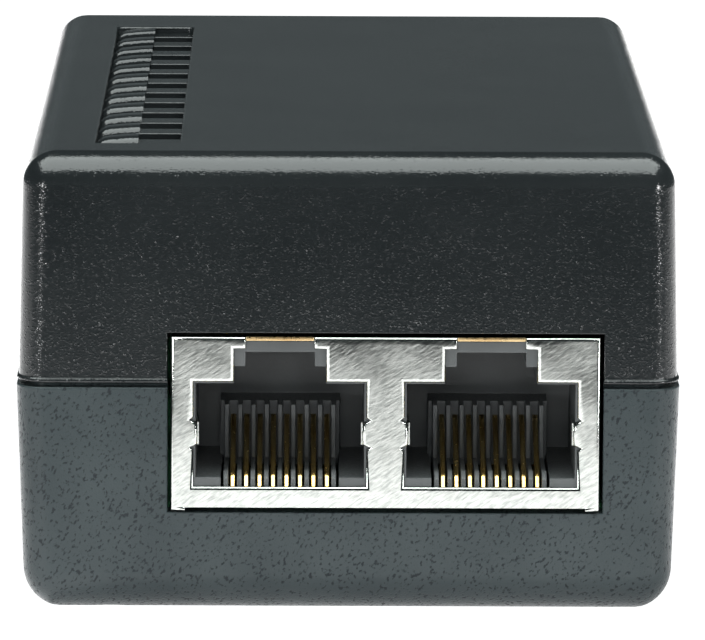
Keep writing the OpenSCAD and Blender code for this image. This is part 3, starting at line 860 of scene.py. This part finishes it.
def wound(name, dark, light, pitch, metallic):
    """Turns of wire or tape side by side, pitch in mm."""
    n = Nodes(name)
    band_at_scale_one = 0.31
    wave = n.add("ShaderNodeTexWave", Scale=band_at_scale_one / pitch, Distortion=0.4)
    wave.bands_direction = "Z"
    n.link(n.mm, wave.inputs["Vector"])
    # Painted shade: each band darkens towards where neighbouring turns meet.
    colour = n.mix(wave.outputs["Fac"], dark, light)
    normal = n.bump(wave.outputs["Fac"], pitch * 0.3 * MM)
    return n.set(Base_Color=colour, Metallic=metallic, Roughness=0.35, Normal=normal)


# ---------------------------------------------------------------- pieces

MATERIALS = {
    "cover_plastic": cover_finish("cover_plastic"),
    "shell_plastic": shell_finish("shell_plastic"),
    "shield_metal": brushed_metal("shield_metal", (0.36, 0.38, 0.36), (0.64, 0.66, 0.63), 0.10),
    "notch_brass": finish("notch_brass", (0.62, 0.42, 0.20), (0.80, 0.60, 0.32), 0.3, 1.0),
    # Painted light: the jack's black plastic is given a lighter grey, so the shaded cavity and latch lip read
    # brighter.
    "jack_plastic": finish("jack_plastic", (0.045, 0.049, 0.050), (0.054, 0.059, 0.060), 0.42, height=0.01),
    "contact_gold": finish("contact_gold", (0.80, 0.52, 0.16), (0.95, 0.70, 0.30), 0.2, 1.0),
    "inlet_plastic": finish("inlet_plastic", (0.012, 0.012, 0.013), (0.02, 0.02, 0.021), 0.38, height=0.012),
    "pin_metal": finish("pin_metal", (0.34, 0.32, 0.27), (0.46, 0.43, 0.37), 0.22, 1.0, stretch=(1, 0.1, 1)),
    "screw_steel": finish("screw_steel", (0.42, 0.42, 0.43), (0.58, 0.58, 0.60), 0.3, 1.0),
    "foot_rubber": finish("foot_rubber", (0.012, 0.012, 0.012), (0.02, 0.02, 0.02), 0.75, height=0.02),
    "label_film": finish("label_film", (0.42, 0.43, 0.42), (0.52, 0.53, 0.52), 0.38, scale=1.0),
    "board_laminate": board_finish("board_laminate"),
    "insulation_film": finish("insulation_film", (0.50, 0.44, 0.28), (0.58, 0.53, 0.36), 0.5),
    "fuse_body": finish("fuse_body", (0.035, 0.022, 0.014), (0.05, 0.03, 0.02), 0.4),
    "blue_epoxy": finish("blue_epoxy", (0.02, 0.07, 0.24), (0.03, 0.10, 0.32), 0.25, height=0.03),
    "capacitor_box": finish("capacitor_box", (0.58, 0.36, 0.04), (0.66, 0.44, 0.07), 0.35),
    "ferrite_coated": finish("ferrite_coated", (0.03, 0.10, 0.05), (0.05, 0.15, 0.08), 0.35, height=0.03),
    "copper_wire": wound("copper_wire", (0.30, 0.09, 0.03), (0.78, 0.33, 0.14), 0.6, 1.0),
    "black_epoxy": finish("black_epoxy", (0.014, 0.014, 0.015), (0.022, 0.022, 0.023), 0.45, height=0.02),
    "capacitor_sleeve": finish("capacitor_sleeve", (0.008, 0.011, 0.02), (0.012, 0.016, 0.03), 0.28),
    "sink_aluminium": finish(
        "sink_aluminium", (0.62, 0.63, 0.64), (0.75, 0.76, 0.77), 0.32, 1.0, stretch=(1, 8, 0.5)),
    "ferrite": finish("ferrite", (0.025, 0.025, 0.027), (0.04, 0.04, 0.042), 0.6, height=0.03),
    "bobbin_plastic": finish("bobbin_plastic", (0.015, 0.014, 0.013), (0.024, 0.022, 0.02), 0.4),
    "winding_tape": wound("winding_tape", (0.62, 0.44, 0.04), (0.72, 0.54, 0.07), 3.0, 0.0),
}


def place(piece, slot, body=BODY, node=None, look=None):
    """Gives a piece its finish and body, and hides the CAD node it stands for."""
    piece.data.materials.clear()
    piece.data.materials.append(MATERIALS[look or slot])
    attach(piece, body)
    if node is not None:
        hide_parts(node)


place(make_cover(), "cover_plastic", node="top_cover")
place(make_shell(), "shell_plastic", node="bottom_shell")
place(make_shield(), "shield_metal", node="jack_shield")
place(make_notch_edges(), "shield_metal", look="notch_brass")
place(make_springs(0), "contact_gold", "port_1_contacts", "port_1_springs")
place(make_springs(1), "contact_gold", "port_2_contacts", "port_2_springs")

# Pieces that are copies of CAD nodes: node, slot, width of the broken edges in mm
DRESSED = (
    ("jack_housing", "jack_plastic", 0.06), ("port_1_tails", "contact_gold", 0.04),
    ("port_2_tails", "contact_gold", 0.04), ("inlet_housing", "inlet_plastic", 0.3),
    ("inlet_live_pin", "pin_metal", 0.35), ("inlet_neutral_pin", "pin_metal", 0.35),
    ("inlet_earth_pin", "pin_metal", 0.35), ("cover_screws", "screw_steel", 0.1),
    ("rubber_feet", "foot_rubber", 0.15), ("rating_label", "label_film", 0.03),
    ("main_board", "board_laminate", 0.0), ("insulation_sheet", "insulation_film", 0.0),
    ("fuse", "fuse_body", 0.25), ("varistor", "blue_epoxy", 0.9), ("x_capacitor", "capacitor_box", 0.3),
    ("choke_core", "ferrite_coated", 0.4), ("choke_windings", "copper_wire", 0.3),
    ("bridge_rectifier", "black_epoxy", 0.3), ("bulk_capacitor", "capacitor_sleeve", 0.5),
    ("primary_heatsink", "sink_aluminium", 0.15), ("switching_transistor", "black_epoxy", 0.2),
    ("transformer_core", "ferrite", 0.25), ("transformer_bobbin", "bobbin_plastic", 0.12),
    ("transformer_winding", "winding_tape", 0.15), ("secondary_heatsink", "sink_aluminium", 0.15),
    ("output_diode", "black_epoxy", 0.2), ("output_capacitors", "capacitor_sleeve", 0.4),
    ("lan_magnetics", "black_epoxy", 0.15), ("optocoupler", "black_epoxy", 0.15),
    ("y_capacitor", "blue_epoxy", 0.8), ("controller_chip", "black_epoxy", 0.08),
)
for node, slot, width in DRESSED:
    place(dress(node, width * MM), slot, node=node)


# ---------------------------------------------------------------- stage

# Name, place and target in metres, width, height, radiance, and whether reflections show the lamp
SOFTBOXES = (
    ("overhead_box", (0.0, -0.11, 0.485), (0.0, -0.11, 0), 0.8, 0.52, 6.5, True),
    ("left_front", (-0.60, -0.76, 0.44), (0, 0, 0.03), 0.50, 0.50, 4.0, False),
    ("right_front", (0.76, -0.66, 0.44), (0, 0, 0.03), 0.50, 0.50, 4.0, False),
    ("front_fill", (0.0, -1.3, 0.34), (0, 0, 0.02), 0.5, 0.24, 17, False),
    ("left_spark", (-0.62, -0.78, 0.07), (0, 0, 0.03), 0.12, 0.12, 50, True),
    ("right_spark", (0.78, -0.68, 0.07), (0, 0, 0.03), 0.12, 0.12, 50, True),
)
OVERHEAD_COLOUR = (0.93, 1.0, 0.98)

# Patches of light on the floor, in metres and watts
POOL_X = 0.55
POOL_Y = 0.208
POOL_Z = 1.3
POOL_R = 0.33
POOL_LAMP_R = 0.06
POOL_SOFTNESS = 0.15
POOL_POWER = 125

# Strength of the surroundings at the horizon and from the sine SKY_FADE_TO of the height upwards
SKY_LOW = 0.19
SKY_HIGH = 0.03
SKY_FADE_TO = 0.30
SKY_COLOUR = (0.84, 0.97, 1, 1)

# Camera: lens and sensor in mm, turns in degrees, place from the front of the joint
LENS = 359.8
SENSOR = 36
LOOK_DOWN = 9.729
YAW = 0.460
ROLL_LEFT = 0.2895
CAMERA_LEFT = 3.9 * MM
CAMERA_AWAY = 520.6 * MM
CAMERA_UP = 94.3 * MM
FAR_CLIP = 20

FLOOR_HALF = 12
BOUNCE_HALF = 3


def make_floor(name, half, seen):
    """White ground plane, seen either by the camera alone or only through its light and reflections."""
    bm = bmesh.new()
    bmesh.ops.create_grid(bm, x_segments=2, y_segments=2, size=half)
    floor = link(name, to_mesh(bm, name))
    floor.visible_camera = seen
    floor.visible_diffuse = not seen
    floor.visible_glossy = not seen
    floor.visible_shadow = not seen
    n = Nodes(name + "_white")
    n.set(Base_Color=(0.86, 0.86, 0.86, 1), Roughness=0.8)
    n.set(Emission_Color=(1, 1, 1, 1), Emission_Strength=1.0 if seen else 0.0)
    floor.data.materials.append(n.material)
    return floor


def aim(lamp, place_at, target):
    """Puts a lamp into the scene so that it shines at a point."""
    bpy.context.scene.collection.objects.link(lamp)
    lamp.location = place_at
    lamp.rotation_euler = (Vector(target) - Vector(place_at)).to_track_quat("-Z", "Y").to_euler()


def panel(name, place_at, target, size_x, size_y, radiance):
    """Rectangular softbox of the given brightness per area."""
    data = bpy.data.lights.new(name, "AREA")
    data.shape = "RECTANGLE"
    data.size = size_x
    data.size_y = size_y
    data.energy = radiance * math.pi * size_x * size_y
    lamp = bpy.data.objects.new(name, data)
    aim(lamp, place_at, target)
    return lamp


def pool(name, place_at, target):
    """Round patch of light on the floor."""
    data = bpy.data.lights.new(name, "SPOT")
    data.energy = POOL_POWER
    data.spot_size = 2 * math.atan(POOL_R / place_at[2])
    data.spot_blend = POOL_SOFTNESS
    data.shadow_soft_size = POOL_LAMP_R
    lamp = bpy.data.objects.new(name, data)
    aim(lamp, place_at, target)
    return lamp


def limit(lamp, item, state):
    """Restricts a lamp to one object (INCLUDE) or keeps it off that object (EXCLUDE)."""
    group = bpy.data.collections.new(lamp.name + "_on")
    group.objects.link(item)
    group.collection_objects[0].light_linking.link_state = state
    lamp.light_linking.receiver_collection = group
    return group


def make_softboxes(floor):
    """The lamps that light the object but not the floor."""
    lamps = []
    for name, place_at, target, size_x, size_y, radiance, mirrored in SOFTBOXES:
        lamp = panel(name, place_at, target, size_x, size_y, radiance)
        lamp.visible_glossy = mirrored
        lamps.append(lamp)
    lamps[0].data.color = OVERHEAD_COLOUR
    for lamp in lamps:
        limit(lamp, floor, "EXCLUDE")


def make_pools(floor):
    """Two overlapping patches of light on the floor; the object only shades the left one."""
    target = (0.0, POOL_Y, 0)
    left = pool("left_pool", (-POOL_X, POOL_Y, POOL_Z), target)
    right = pool("right_pool", (POOL_X, POOL_Y, POOL_Z), target)
    limit(left, floor, "INCLUDE")
    right.light_linking.blocker_collection = limit(right, floor, "INCLUDE")


def make_sky():
    """Pale surroundings, brighter at the horizon than above it."""
    world = bpy.data.worlds.new("studio")
    world.use_nodes = True
    tree = world.node_tree
    sky = tree.nodes["Background"]
    coords = tree.nodes.new("ShaderNodeTexCoord")
    split = tree.nodes.new("ShaderNodeSeparateXYZ")
    fade = tree.nodes.new("ShaderNodeMapRange")
    fade.inputs["From Min"].default_value = 0.0
    fade.inputs["From Max"].default_value = SKY_FADE_TO
    fade.inputs["To Min"].default_value = SKY_LOW
    fade.inputs["To Max"].default_value = SKY_HIGH
    tree.links.new(coords.outputs["Generated"], split.inputs["Vector"])
    tree.links.new(split.outputs["Z"], fade.inputs["Value"])
    tree.links.new(fade.outputs["Result"], sky.inputs["Strength"])
    sky.inputs["Color"].default_value = SKY_COLOUR
    bpy.context.scene.world = world


def make_camera():
    """Long lens in front, a little left of the middle, looking down 9.7 degrees."""
    data = bpy.data.cameras.new("camera")
    data.lens = LENS
    data.sensor_width = SENSOR
    data.clip_end = FAR_CLIP
    cam = bpy.data.objects.new("camera", data)
    bpy.context.scene.collection.objects.link(cam)
    yaw = Matrix.Rotation(-math.radians(YAW), 4, "Z")
    pitch = Matrix.Rotation(math.pi / 2 - math.radians(LOOK_DOWN), 4, "X")
    roll = Matrix.Rotation(math.radians(ROLL_LEFT), 4, "Z")
    turn = yaw @ pitch @ roll
    spot = Vector((-CAMERA_LEFT, FRONT - CAMERA_AWAY, JOINT + CAMERA_UP))
    cam.matrix_world = Matrix.Translation(spot) @ turn
    bpy.context.scene.camera = cam


make_camera()
make_floor("floor", FLOOR_HALF, seen=True)
bounce_floor = make_floor("bounce_floor", BOUNCE_HALF, seen=False)
make_softboxes(bounce_floor)
make_pools(bounce_floor)
make_sky()
bpy.context.scene.view_settings.view_transform = "Standard"
